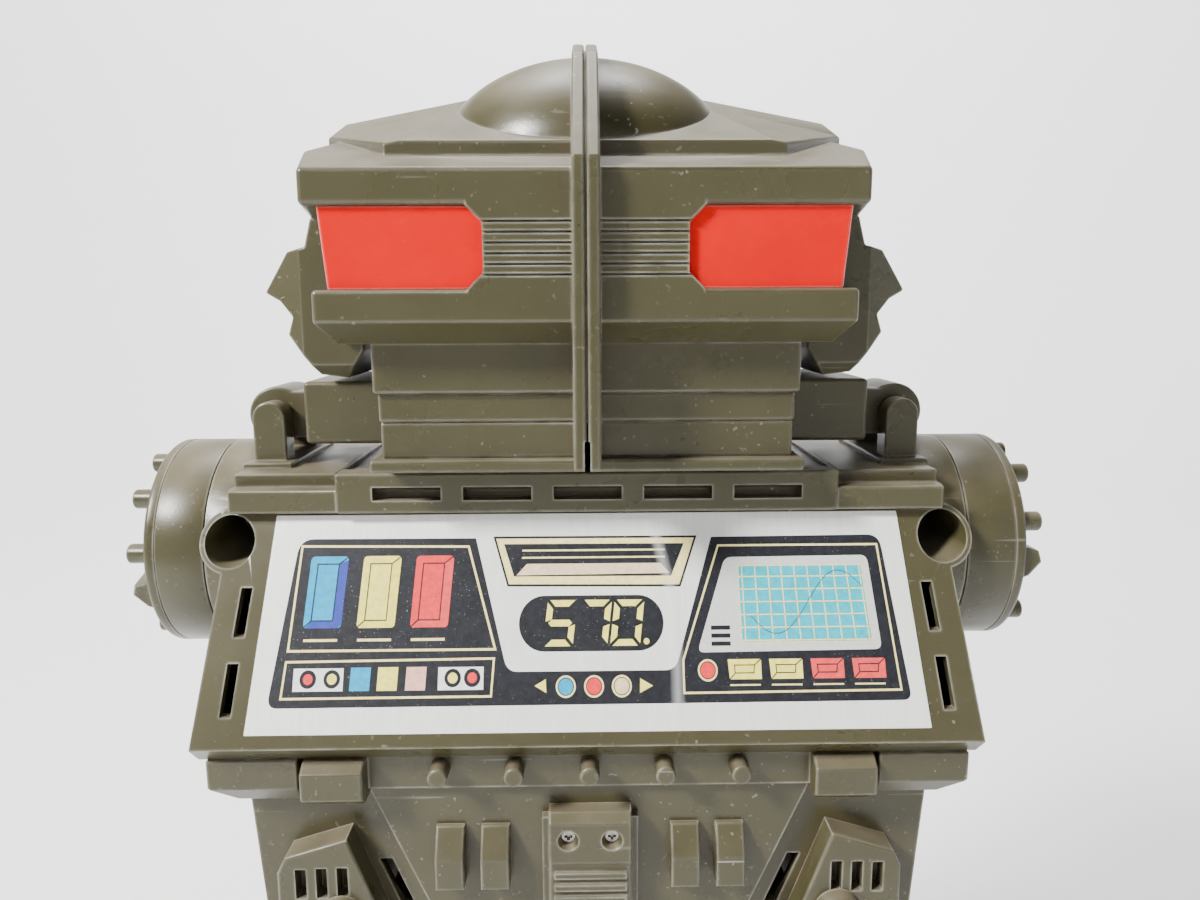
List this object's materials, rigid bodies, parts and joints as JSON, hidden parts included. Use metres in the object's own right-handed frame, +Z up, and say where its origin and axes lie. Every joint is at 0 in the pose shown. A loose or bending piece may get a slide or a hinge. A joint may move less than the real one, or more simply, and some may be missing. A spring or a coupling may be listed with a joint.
{
  "type": "toy robot",
  "caption": "Battery-operated walking toy robot in grey-olive plastic, with a split hinged head, red windows, a foil control panel and studded shoulder drums.",
  "frame": {"origin": "on the floor under the middle of the robot", "axes": "+Z up, -Y towards the robot's front, +X to the viewer's right from the front"},
  "size_m": [0.2044, 0.112, 0.3778],
  "materials": {
    "olive_plastic": "dusty grey-olive moulded plastic with worn edges",
    "red_window": "translucent red window",
    "foil": "metallised foil with printed control graphics",
    "steel": "drawn steel",
    "black_plastic": "black moulded plastic",
    "chrome_plate": "vacuum-plated plastic",
    "lamp_glass": "clear bulb",
    "nylon": "natural nylon",
    "brass": "turned brass",
    "cell_jacket": "printed steel jacket",
    "speaker_metal": "black-painted steel",
    "roller_rubber": "black rubber"
  },
  "bodies": {
    "torso": {"shoulder_deck": "olive_plastic", "vent_bar": "olive_plastic", "chest_shell": "olive_plastic", "foil_panel": "foil", "belly_shell": "olive_plastic", "belly_pegs": "olive_plastic", "belly_blocks": "olive_plastic", "centre_hatch": "olive_plastic", "hatch_screws": "steel", "left_hip_pod": "olive_plastic", "right_hip_pod": "olive_plastic", "hip_knobs": "olive_plastic", "back_shell": "olive_plastic", "back_screws": "steel", "battery_box": "black_plastic", "battery_cells": "cell_jacket", "cell_contacts": "steel", "switch_body": "black_plastic", "speaker": "speaker_metal", "motor": "steel", "gearbox_plates": "nylon", "drum_axle": "steel", "hinge_pins": "steel", "turret_post": "black_plastic", "pelvis": "olive_plastic", "leg_guide_rods": "steel"},
    "left_head": {"left_head_shell": "olive_plastic", "left_head_wing": "olive_plastic", "left_eye_window": "red_window", "left_hinge_arm": "olive_plastic"},
    "right_head": {"right_head_shell": "olive_plastic", "right_head_wing": "olive_plastic", "right_eye_window": "red_window", "right_hinge_arm": "olive_plastic"},
    "turret": {"turret_body": "black_plastic", "turret_barrels": "chrome_plate", "head_lamp": "lamp_glass"},
    "left_shoulder": {"left_drum": "olive_plastic", "left_drum_cap": "olive_plastic"},
    "right_shoulder": {"right_drum": "olive_plastic", "right_drum_cap": "olive_plastic"},
    "door": {"battery_door": "olive_plastic"},
    "switch": {"switch_knob": "black_plastic"},
    "pinion": {"motor_pinion": "brass"},
    "crank": {"crank_gear": "nylon", "crank_shaft": "steel"},
    "left_walker": {"left_leg_slider": "nylon", "left_leg": "olive_plastic", "left_foot": "olive_plastic", "left_sole": "black_plastic"},
    "right_walker": {"right_leg_slider": "nylon", "right_leg": "olive_plastic", "right_foot": "olive_plastic", "right_sole": "black_plastic"},
    "left_front_wheel": {"left_front_roller": "roller_rubber"},
    "left_rear_wheel": {"left_rear_roller": "roller_rubber"},
    "right_front_wheel": {"right_front_roller": "roller_rubber"},
    "right_rear_wheel": {"right_rear_roller": "roller_rubber"}
  },
  "joints": [
    {"name": "left_head_open", "type": "hinge", "parent": "torso", "child": "left_head", "pos_m": [-0.0717, 0, 0.2966], "axis": [0, -1, 0], "range_deg": [0, 55]},
    {"name": "right_head_open", "type": "hinge", "parent": "torso", "child": "right_head", "pos_m": [0.0717, 0, 0.2966], "axis": [0, 1, 0], "range_deg": [0, 55]},
    {"name": "turret_turn", "type": "hinge", "parent": "torso", "child": "turret", "pos_m": [0, 0, 0.3], "axis": [0, 0, 1], "continuous": true},
    {"name": "left_shoulder_turn", "type": "hinge", "parent": "torso", "child": "left_shoulder", "pos_m": [-0.09, 0, 0.2655], "axis": [1, 0, 0], "continuous": true},
    {"name": "right_shoulder_turn", "type": "hinge", "parent": "torso", "child": "right_shoulder", "pos_m": [0.09, 0, 0.2655], "axis": [1, 0, 0], "continuous": true},
    {"name": "battery_door_open", "type": "hinge", "parent": "torso", "child": "door", "pos_m": [0, 0.043, 0.1936], "axis": [-1, 0, 0], "range_deg": [0, 95]},
    {"name": "power_switch", "type": "slide", "parent": "torso", "child": "switch", "axis": [1, 0, 0], "range_m": [-0.003, 0.003]},
    {"name": "crank_turn", "type": "hinge", "parent": "torso", "child": "crank", "pos_m": [0, 0, 0.181], "axis": [1, 0, 0], "continuous": true},
    {"name": "pinion_turn", "type": "hinge", "parent": "torso", "child": "pinion", "pos_m": [0, 0, 0.20615], "axis": [1, 0, 0], "continuous": true},
    {"name": "left_leg_slide", "type": "slide", "parent": "torso", "child": "left_walker", "axis": [0, 1, 0], "range_m": [-0.006, 0.006]},
    {"name": "right_leg_slide", "type": "slide", "parent": "torso", "child": "right_walker", "axis": [0, 1, 0], "range_m": [-0.006, 0.006]},
    {"name": "left_front_roller_spin", "type": "hinge", "parent": "left_walker", "child": "left_front_wheel", "pos_m": [-0.0365, -0.034, 0.007], "axis": [1, 0, 0], "continuous": true},
    {"name": "left_rear_roller_spin", "type": "hinge", "parent": "left_walker", "child": "left_rear_wheel", "pos_m": [-0.0365, 0.034, 0.007], "axis": [1, 0, 0], "continuous": true},
    {"name": "right_front_roller_spin", "type": "hinge", "parent": "right_walker", "child": "right_front_wheel", "pos_m": [0.0365, -0.034, 0.007], "axis": [1, 0, 0], "continuous": true},
    {"name": "right_rear_roller_spin", "type": "hinge", "parent": "right_walker", "child": "right_rear_wheel", "pos_m": [0.0365, 0.034, 0.007], "axis": [1, 0, 0], "continuous": true}
  ],
  "couplings": [
    {"joint": "right_head_open", "follows": "left_head_open", "ratio": 1},
    {"joint": "pinion_turn", "follows": "crank_turn", "ratio": -4},
    {"joint": "right_leg_slide", "follows": "left_leg_slide", "ratio": -1}
  ]
}
